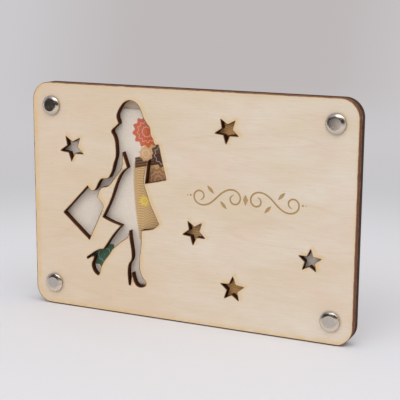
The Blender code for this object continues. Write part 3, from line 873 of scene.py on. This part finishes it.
# The ripple's height, and the lengths across and up over which its sines turn by one radian
RIPPLE = 0.05 * MM
RIPPLE_ACROSS = 11 * MM
RIPPLE_UP = 17 * MM
note_low, note_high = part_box("gift_note")
leaf_offset = (note_high.y - note_low.y - PAPER_THICKNESS) / 2


def note_path():
    """Rows of (across, depth) along the sheet: the front leaf, a half circle and the flap."""
    fold = note_high.x - PAPER_THICKNESS / 2 - leaf_offset
    leaf = np.arange(note_low.x, fold, NOTE_STEP)
    angles = np.linspace(-math.pi / 2, math.pi / 2, FOLD_STEPS + 1)
    flap = np.arange(fold, note_high.x - NOTE_FLAP, -NOTE_STEP)[1:]
    return np.concatenate([
        np.column_stack([leaf, np.full(len(leaf), -leaf_offset)]),
        np.column_stack([fold + leaf_offset * np.cos(angles), leaf_offset * np.sin(angles)]),
        np.column_stack([flap, np.full(len(flap), leaf_offset)]),
    ])


def note_surface():
    """The sheet's points, a grid of the path at each height, pushed back and forth by the ripple.

    The ripple is the product of a slow sine across and a slow sine up, taken the same on both
    leaves, so that they never touch.
    """
    path = note_path()
    up = np.linspace(note_low.z, note_high.z, round((note_high.z - note_low.z) / NOTE_STEP) + 1)[:, None]
    across = np.broadcast_to(path[:, 0], (len(up), len(path)))
    ripple = RIPPLE * np.sin(across / RIPPLE_ACROSS) * np.sin(up / RIPPLE_UP)
    return np.stack([across, path[:, 1] + ripple, np.broadcast_to(up, across.shape)], axis=2)


# %% Mesh over a grid
def grid_mesh(name, points, closed=False):
    """A mesh over a grid of points. A quad faces along the cross product of across and up."""
    number = np.arange(points.shape[0] * points.shape[1]).reshape(points.shape[:2])
    if closed:
        number = np.concatenate([number, number[:, :1]], axis=1)
    quads = np.stack([number[:-1, :-1], number[:-1, 1:], number[1:, 1:], number[1:, :-1]], axis=2)
    mesh = bpy.data.meshes.new(name)
    mesh.from_pydata(points.reshape(-1, 3).tolist(), [], quads.reshape(-1, 4).tolist())
    return mesh


# %% Put the note in
note = place_piece(grid_mesh("folded_note", note_surface()), printed_paper(), "note", "gift_note")
thickness = note.modifiers.new("thickness", "SOLIDIFY")
thickness.thickness = PAPER_THICKNESS
thickness.offset = 0
note_width, note_height = note_high.x - note_low.x, note_high.z - note_low.z
print("note", round(note_width / MM, 1), "by", round(note_height / MM, 1), "mm as folded")

# %% [markdown]
# ## Bright nickel
# Book screws are turned from brass and plated with bright nickel, a metal a touch warmer than
# chrome. What the eye reads as metal is what it mirrors, so its roughness is low, with a little
# cloudiness from handling and very faint rings left by the lathe.

# %% Nickel material
# Real lathe rings are finer than this, in mm, but would not show
LATHE_RING = 0.25
HANDLING_PATCH = 1.6 * MM
NICKEL_TINT = "BEB7B0"
NICKEL_ROUGHNESS = (0.15, 0.28)
NICKEL_RELIEF = 0.01 * MM


def bright_nickel():
    """Nickel plate with faint lathe rings round the piece's own axis."""
    material, tree, shader = new_material("bright_nickel_plate", Metallic=1.0, Base_Color=linear(NICKEL_TINT))
    place = add_node(tree, "TexCoord", {}, give="Object")
    patches = add_node(tree, "TexNoise", {"Vector": place, "Scale": 1 / HANDLING_PATCH, "Detail": 2.0})
    smooth, rough = NICKEL_ROUGHNESS
    roughness = add_node(tree, "MapRange", {0: patches, 1: 0.3, 2: 0.7, 3: smooth, 4: rough})
    tree.links.new(roughness, shader.inputs["Roughness"])
    from_axis = add_node(tree, "Attribute", {}, give="Fac", attribute_name="from_axis")
    rings = add_node(tree, "Math", {0: from_axis, 1: LATHE_RING}, operation="PINGPONG")
    dents = add_node(tree, "Math", {0: patches, 1: 0.5, 2: rings}, operation="MULTIPLY_ADD")
    bump = add_node(tree, "Bump", {"Height": dents, "Strength": 0.2, "Distance": NICKEL_RELIEF})
    tree.links.new(bump, shader.inputs["Normal"])
    return material


nickel = bright_nickel()
print(nickel.name, "has", len(nickel.node_tree.nodes), "nodes")

# %% [markdown]
# ## The book screws
# Each is two turned pieces. The post, in front, has a smooth head and a barrel with a threaded
# bore. The screw, behind, has a slotted head and a threaded shank. A turned surface is a radius as a
# function of the way along a profile and the way round, and a thread is that radius swinging with
# the height and the turn together, so its crest climbs as a helix.

# %% Sizes of a turned node
def ring_sizes(node):
    """The middle of a turned node, and the depth and the radius of each of its points."""
    points = welded(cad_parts[node].data)[0]
    low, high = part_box(node)
    middle = ((low.x + high.x) / 2, (low.z + high.z) / 2)
    return middle, points[:, 1], np.hypot(points[:, 0] - middle[0], points[:, 2] - middle[1])


# %% Head profile
# The flat's radius and the height of its slight dome
HEAD_FLAT = 2.6 * MM
DOME = 0.05 * MM
RIM_DEPTH = 1.1 * MM
# Under 2, these powers make the rim fall off faster than an ellipse where it leaves the flat
RIM_POWERS = (1.3, 1.5)
CORNER_BREAK = 0.08 * MM
DOME_POINTS = 9
RIM_POINTS = 25
CORNER_POINTS = 4


def head_rows(radius, top, seat):
    """Rows of (radius, height, thread) over a head: a slight dome, a rim and a broken corner.

    The rim is a quarter of a superellipse, wider than it is deep, which is how a pressed head rolls off.
    """
    across = np.linspace(0, HEAD_FLAT, DOME_POINTS)
    dome = np.column_stack([across, top - DOME * (across / HEAD_FLAT) ** 2])
    angles = np.linspace(math.pi / 2, 0, RIM_POINTS)[1:]
    outwards, upwards = np.cos(angles) ** (2 / RIM_POWERS[0]), np.sin(angles) ** (2 / RIM_POWERS[1])
    rim_radius = HEAD_FLAT + (radius - HEAD_FLAT) * outwards
    rim = np.column_stack([rim_radius, top - DOME - RIM_DEPTH * (1 - upwards)])
    angles = np.linspace(0, -math.pi / 2, CORNER_POINTS)
    corner = np.column_stack([np.cos(angles), np.sin(angles)]) * CORNER_BREAK
    corner += (radius - CORNER_BREAK, seat + CORNER_BREAK)
    rows = np.concatenate([dome, rim, corner])
    return np.insert(rows, 2, 0, axis=1)


# %% Thread profile
PITCH = 0.7 * MM
THREAD_DEPTH = 0.2 * MM
# Rows to a turn of the thread
THREAD_STEPS = 8


def threaded_rows(radius, start, end):
    """Rows of (radius, height, thread) down a thread, which fades in and out over its first and last turn."""
    count = round(abs(end - start) / PITCH * THREAD_STEPS)
    height = np.linspace(start, end, count + 1)
    fade = np.clip(np.minimum(abs(height - start), abs(height - end)) / PITCH, 0, 1)
    return np.column_stack([np.full(count + 1, radius), height, fade])


# %% Turning a profile
TURN_STEPS = 96


def closed_up(mesh):
    """Merge a mesh's doubles, as at a pole, and turn its faces outwards."""
    shape = bmesh.new()
    shape.from_mesh(mesh)
    bmesh.ops.remove_doubles(shape, verts=shape.verts, dist=SAME_POINT / 10)
    bmesh.ops.recalc_face_normals(shape, faces=shape.faces)
    shape.to_mesh(mesh)
    shape.free()
    return mesh


def turned(name, middle, seat, outward, rows):
    """A closed turned mesh about the line through the middle, with heights counted outward from the seat.

    Where a row has a thread, the radius also swings by a triangle wave of height over pitch minus turn.
    """
    turns = np.arange(TURN_STEPS) / TURN_STEPS
    radius, height, thread = rows[:, :1], rows[:, 1:2], rows[:, 2:3]
    wave = np.abs((height / PITCH - turns) % 1 * 2 - 1) - 0.5
    radius = radius + thread * THREAD_DEPTH * wave
    across = middle[0] - outward * radius * np.cos(turns * math.tau)
    up = middle[1] + radius * np.sin(turns * math.tau)
    depth = np.broadcast_to(seat + outward * height, across.shape)
    return closed_up(grid_mesh(name, np.stack([across, depth, up], axis=2), closed=True))


# %% Posts
def post_mesh(corner):
    """A post: its head, the barrel's outside and end, and a threaded blind bore."""
    middle, depths, radii = ring_sizes("post_" + corner)
    head = radii.max()
    seat = depths[radii > head - SAME_POINT].max()
    end = depths.max()
    at_end = radii[depths > end - SAME_POINT]
    barrel, bore = at_end.max(), at_end.min()
    bore_floor = depths[np.abs(radii - bore) < SAME_POINT].min()
    plain = [[barrel, 0, 0], [barrel, seat - end + CORNER_BREAK, 0], [barrel - CORNER_BREAK, seat - end, 0],
             [bore + CORNER_BREAK, seat - end, 0]]
    rows = np.concatenate([
        head_rows(head, seat - depths.min(), 0), plain,
        threaded_rows(bore + THREAD_DEPTH / 2, seat - end + CORNER_BREAK, seat - bore_floor),
        [[0, seat - bore_floor, 0]],
    ])
    return turned("bright_post_" + corner, middle, seat, -1, rows)


# %% Screws
TIP_CHAMFER = 0.4 * MM


def screw_mesh(corner):
    """A screw: its head, a threaded shank and a chamfered tip."""
    middle, depths, radii = ring_sizes("screw_" + corner)
    head = radii.max()
    seat = depths[radii > head - SAME_POINT].min()
    tip = depths.min() - seat
    shank = radii[depths < seat - SAME_POINT].max()
    rows = np.concatenate([
        head_rows(head, depths.max() - seat, 0),
        threaded_rows(shank, 0, tip + TIP_CHAMFER),
        [[shank - TIP_CHAMFER, tip, 0], [0, tip, 0]],
    ])
    return turned("bright_screw_" + corner, middle, seat, 1, rows)


# %% Screwdriver slots
SLOT_CHAMFER = 0.1 * MM
# The bar runs so far past the head at both ends
SLOT_OVERRUN = 0.5 * MM


def slot_cutter(node):
    """A bar along a packed screw's slot, whose sides flare at the top to break the slot's edges.

    The slot parts the head's flat in two. The longest edge of one half runs along the slot, half its
    width from the middle, and the lowest point of the head beside that line is on the slot's floor.
    """
    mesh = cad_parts[node].data
    middle, depths, radii = ring_sizes(node)
    top, seat = depths.max(), depths[radii > radii.max() - SAME_POINT].min()
    half = outlines_of(mesh, top)[0]
    edges = np.roll(half, -1, 0) - half
    longest = np.linalg.norm(edges, axis=1).argmax()
    along = unit(edges)[longest]
    across = np.array([-along[1], along[0]])
    half_width = abs((half[longest] - middle) @ across)
    from_line = np.abs((welded(mesh)[0][:, (0, 2)] - middle) @ across)
    floor = depths[(np.abs(from_line - half_width) < SAME_POINT) & (depths > seat + SAME_POINT)].min()
    side = np.array([
        [half_width, floor], [half_width, top - SLOT_CHAMFER],
        [half_width + 2 * SLOT_CHAMFER, top + SLOT_CHAMFER],
    ])
    section = np.concatenate([side, side[::-1] * (-1, 1)])
    ends = np.array([[-1], [1]]) * (radii.max() + SLOT_OVERRUN) * along
    flat = middle + ends[:, None] + section[None, :, :1] * across
    points = np.stack([flat[:, :, 0], np.tile(section[:, 1], (2, 1)), flat[:, :, 1]], axis=2)
    number = np.arange(2 * len(section)).reshape(2, -1)
    beyond = np.roll(number, -1, 1)
    sides = np.stack([number[0], beyond[0], beyond[1], number[1]], axis=1)
    bar = bpy.data.meshes.new("slot_cutter")
    bar.from_pydata(points.reshape(-1, 3).tolist(), [], sides.tolist() + number.tolist())
    turned_by = math.degrees(math.atan2(along[1], along[0]))
    print(node, "has a slot", round(2 * half_width / MM, 2), "mm wide, turned by", round(turned_by % 180))
    return bpy.data.objects.new("slot_cutter", closed_up(bar))


# %% Cutting a slot
def cut(mesh, cutter):
    """The mesh with the cutter taken out of it. The cutter is then removed."""
    blank = bpy.data.objects.new("blank", mesh)
    for thing in (blank, cutter):
        bpy.context.scene.collection.objects.link(thing)
    taking = blank.modifiers.new("slot", "BOOLEAN")
    taking.operation = "DIFFERENCE"
    taking.solver = "EXACT"
    taking.object = cutter
    finished = bpy.data.meshes.new_from_object(blank.evaluated_get(bpy.context.evaluated_depsgraph_get()))
    for thing in (blank, cutter):
        bpy.data.objects.remove(thing)
    name = mesh.name
    bpy.data.meshes.remove(mesh)
    finished.name = name
    return finished


# %% Put the book screws in
for corner in ("top_left", "top_right", "bottom_left", "bottom_right"):
    post = post_mesh(corner)
    screw = cut(screw_mesh(corner), slot_cutter("screw_" + corner))
    for node, mesh in (("post_" + corner, post), ("screw_" + corner, screw)):
        low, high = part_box(node)
        points = points_of(mesh)
        from_axis = np.hypot(points[:, 0] - (low.x + high.x) / 2, points[:, 2] - (low.z + high.z) / 2)
        give_numbers(mesh, "from_axis", from_axis / MM)
        place_piece(mesh, nickel, node, node)
    print(corner, "post has", len(post.polygons), "faces and screw", len(screw.polygons))

# %% [markdown]
# ## The table and the room
# The card stands on a pale surface that runs back out of sight and grows a little darker on the way:
# a painted falloff of the light. One broad disc is enough: its colour depends on the distance from
# the card, and far away it glows with the very colour of the world behind it, so no horizon shows.
# A soft, darker wedge of painted shade behind the card runs over both alike.

# %% Shade
ROOM_COLOUR = "CBC9CC"
SHADE_COLOUR = "BEB8B8"
# The wedge's middle line turns to the left by this much, and the wedge fades out between two slopes
SHADE_TURN = math.radians(23)
SHADE_SLOPES = (0.07, 0.22)


def shaded(tree, place, start, near, full):
    """The room's colour at a place, and in a soft wedge behind the card, the shade's.

    The wedge opens from a point that far before the origin, and sets in between two distances behind
    it. It works for directions too, which are places very far away.
    """
    ahead_of_card = (-math.sin(SHADE_TURN), math.cos(SHADE_TURN), 0)
    beside_card = (math.cos(SHADE_TURN), math.sin(SHADE_TURN), 0)
    behind = add_node(tree, "VectorMath", {0: place, 1: ahead_of_card}, give="Value", operation="DOT_PRODUCT")
    beside = add_node(tree, "VectorMath", {0: place, 1: beside_card}, give="Value", operation="DOT_PRODUCT")
    length = add_node(tree, "Math", {0: behind, 1: start}, operation="ADD")
    slant = add_node(tree, "Math", {0: beside, 1: length}, operation="DIVIDE")
    off_line = add_node(tree, "Math", {0: slant}, operation="ABSOLUTE")
    wedge = add_node(tree, "MapRange", {0: off_line, 1: SHADE_SLOPES[0], 2: SHADE_SLOPES[1], 3: 1.0, 4: 0.0},
                     interpolation_type="SMOOTHSTEP")
    depth = add_node(tree, "MapRange", {0: behind, 1: near, 2: full, 3: 0.0, 4: 1.0},
                     interpolation_type="SMOOTHSTEP")
    share = add_node(tree, "Math", {0: wedge, 1: depth}, operation="MULTIPLY")
    tint = {0: share, 6: linear(ROOM_COLOUR), 7: linear(SHADE_COLOUR)}
    return add_node(tree, "Mix", tint, give=2, data_type="RGBA")


# %% Table material
# The table darkens from its near colour to its far one away from the card: a painted falloff of the light
NEAR_COLOUR = "DEDDE1"
FAR_COLOUR = "CFCED1"
# Distances from the card, in metres, between which the far colour and the glow set in
FAR_REACH = (0.15, 0.34)
GLOW_REACH = (0.25, 0.6)
# Where the wedge starts before the card, and where it sets in behind it
SHADE_START = 0.45
SHADE_REACH = (0.4, 1.1)

table_material, tree, shader = new_material("matt_pale_table", Roughness=0.7)
place = add_node(tree, "TexCoord", {}, give="Object")
reach = add_node(tree, "VectorMath", {0: place}, give="Value", operation="LENGTH")
near = add_node(tree, "MapRange", {0: reach, 1: FAR_REACH[0], 2: FAR_REACH[1], 3: 0.0, 4: 1.0},
                interpolation_type="SMOOTHSTEP")
tint = {0: near, 6: linear(NEAR_COLOUR), 7: linear(FAR_COLOUR)}
tree.links.new(add_node(tree, "Mix", tint, give=2, data_type="RGBA"), shader.inputs["Base Color"])
glow = add_node(tree, "Emission", {"Color": shaded(tree, place, SHADE_START, *SHADE_REACH)})
far = add_node(tree, "MapRange", {0: reach, 1: GLOW_REACH[0], 2: GLOW_REACH[1], 3: 0.0, 4: 1.0},
               interpolation_type="SMOOTHSTEP")
surface = add_node(tree, "MixShader", {0: far, 1: shader.outputs[0], 2: glow})
print(table_material.name, "glows fully from", GLOW_REACH[1], "m away")

# %% What metal sees of the table
# For glossy rays only, the table glows in front, as if a white card lay there out of the picture, and in a
# strip along the foot: a painted reflection in the metal.
# Depths, in metres, between which the painted reflection in front sets in, the strip along the foot sets in,
# and it ends
REFLECTION_REACH = (-0.04, -0.12)
FOOT_REACH = (-0.026, -0.018)
FOOT_END = (-0.003, 0.0)
FOOT_SHARE = 0.75
REFLECTION_COLOUR = "FFF5E8"
REFLECTION_STRENGTH = 1.25

before = add_node(tree, "SeparateXYZ", {0: place}, give="Y")
reflected_ahead = add_node(tree, "MapRange", {0: before, 1: REFLECTION_REACH[0], 2: REFLECTION_REACH[1], 3: 0.0, 4: 1.0})
at_foot = add_node(tree, "MapRange", {0: before, 1: FOOT_REACH[0], 2: FOOT_REACH[1], 3: 0.0, 4: FOOT_SHARE})
in_front = add_node(tree, "MapRange", {0: before, 1: FOOT_END[0], 2: FOOT_END[1], 3: 1.0, 4: 0.0})
at_foot = add_node(tree, "Math", {0: at_foot, 1: in_front}, operation="MULTIPLY")
lit = add_node(tree, "Math", {0: reflected_ahead, 1: at_foot}, operation="MAXIMUM")
mirrored = add_node(tree, "LightPath", {}, give="Is Glossy Ray")
share = add_node(tree, "Math", {0: lit, 1: mirrored}, operation="MULTIPLY")
painted_reflection = add_node(tree, "Emission", {"Color": linear(REFLECTION_COLOUR), "Strength": REFLECTION_STRENGTH})
surface = add_node(tree, "MixShader", {0: share, 1: surface, 2: painted_reflection})
tree.links.new(surface, tree.nodes["Material Output"].inputs["Surface"])
print(table_material.name, "has", len(tree.nodes), "nodes")

# %% Table
TABLE_RADII = (12.0, 3.0, 1.0, 0.3, 0.0)
TABLE_STEPS = 64

turns = np.arange(TABLE_STEPS) / TABLE_STEPS * math.tau
ring = np.stack([np.cos(turns), np.sin(turns), 0 * turns], axis=1)
table_mesh = grid_mesh("table", np.array(TABLE_RADII)[:, None, None] * ring[None], closed=True)


def set_the_stage(mesh, material):
    """Put a mesh in the scene as part of the stage."""
    mesh.materials.append(material)
    thing = bpy.data.objects.new(mesh.name, mesh)
    bpy.context.scene.collection.objects.link(thing)
    return thing


set_the_stage(table_mesh, table_material)
print("table", 2 * TABLE_RADII[0], "m across")

# %% Room
# The camera and metal see the backdrop, and everything else gets the room's plain light
ROOM_LIGHT = 0.575
SKY_SHADE_REACH = (0.0, 0.3)

room = bpy.data.worlds.new("room")
bpy.context.scene.world = room
room.use_nodes = True
sky = room.node_tree
seen = add_node(sky, "LightPath", {}, give="Is Camera Ray")
mirrored = add_node(sky, "LightPath", {}, give="Is Glossy Ray")
direct = add_node(sky, "Math", {0: seen, 1: mirrored}, operation="MAXIMUM")
light = add_node(sky, "Background", {"Color": linear("FFFFFF"), "Strength": ROOM_LIGHT})
heading = add_node(sky, "TexCoord", {}, give="Generated")
behind_table = shaded(sky, heading, 0.0, *SKY_SHADE_REACH)
backdrop = add_node(sky, "Background", {"Color": behind_table, "Strength": 1.0})
both = add_node(sky, "MixShader", {0: direct, 1: light, 2: backdrop})
sky.links.new(both, sky.nodes["World Output"].inputs["Surface"])
print(room.name, "has", len(sky.nodes), "nodes")

# %% [markdown]
# ## Lamps and a flag
# A soft box at the front left lights the card, and a long one overhead and to the right gives the
# metal its bright rims. Polished metal shows its surroundings, so a photographer hangs a dark cloth,
# called a flag, where the metal should look dark. This one is part of a dome round the front of the
# card, dark with a bright gap at its lower right, and both parts glow by themselves: a painted
# reflection, mirrored by the metal and seen by nothing else.

# %% Soft boxes
# Each has its name, place, width and length in metres, power in watts and whether metal mirrors it
SOFT_BOXES = (
    ("soft_box_front", (-0.8, -1.3, 1.0), 1.9, 1.9, 9.75, False),
    ("soft_box_above", (0.42, -0.42, 1.0), 0.7, 1.9, 8.0, True),
)
for name, spot, width, length, power, in_mirror in SOFT_BOXES:
    lamp = bpy.data.lights.new(name, "AREA")
    lamp.shape = "RECTANGLE"
    lamp.size = length
    lamp.size_y = width
    lamp.energy = power
    stand = bpy.data.objects.new(name, lamp)
    stand.location = spot
    towards_card = CARD_MIDDLE - Vector(spot)
    stand.rotation_euler = towards_card.to_track_quat("-Z", "Y").to_euler()
    stand.visible_glossy = in_mirror
    bpy.context.scene.collection.objects.link(stand)
    print(name, "stands", round(towards_card.length, 2), "m away")

# %% Flag
FLAG_REACH = 0.28
FLAG_TURN = math.radians(65)
FLAG_TOP = math.radians(45)
FLAG_STEPS = (17, 33)
# The gap's left and upper edges, in metres, and how they fade
GAP_LEFT = (-0.05, -0.005)
GAP_TOP = (0.06, 0.09)
FLAG_BRIGHT_GLOW = "FFF8F4"
FLAG_DARK_GLOW = "433D3B"

flag_material, tree, shader = new_material("painted_reflection_flag", Roughness=0.9)
place = add_node(tree, "TexCoord", {}, give="Object")
across = add_node(tree, "SeparateXYZ", {0: place}, give="X")
up = add_node(tree, "SeparateXYZ", {0: place}, give="Z")
right = add_node(tree, "MapRange", {0: across, 1: GAP_LEFT[0], 2: GAP_LEFT[1], 3: 0.0, 4: 1.0})
under = add_node(tree, "MapRange", {0: up, 1: GAP_TOP[0], 2: GAP_TOP[1], 3: 1.0, 4: 0.0})
share = add_node(tree, "Math", {0: right, 1: under}, operation="MULTIPLY")
# The dark part and the bright gap both glow by themselves: a painted reflection, seen only by the metal
dark_glow = add_node(tree, "Emission", {"Color": linear(FLAG_DARK_GLOW), "Strength": 1.0})
bright_glow = add_node(tree, "Emission", {"Color": linear(FLAG_BRIGHT_GLOW), "Strength": 1.0})
surface = add_node(tree, "MixShader", {0: share, 1: dark_glow, 2: bright_glow})
tree.links.new(surface, tree.nodes["Material Output"].inputs["Surface"])

around = np.linspace(-FLAG_TURN, FLAG_TURN, FLAG_STEPS[1])[None, :]
height = np.linspace(0, FLAG_TOP, FLAG_STEPS[0])[:, None]
dome = np.stack([
    np.cos(height) * np.sin(around), -np.cos(height) * np.cos(around), np.sin(height) + 0 * around,
], axis=2)
flag = set_the_stage(grid_mesh("flag", FLAG_REACH * dome), flag_material)
for ray in ("camera", "diffuse", "transmission", "volume_scatter", "shadow"):
    setattr(flag, "visible_" + ray, False)
print("flag", FLAG_REACH, "m from the card, with", len(flag.data.polygons), "faces")
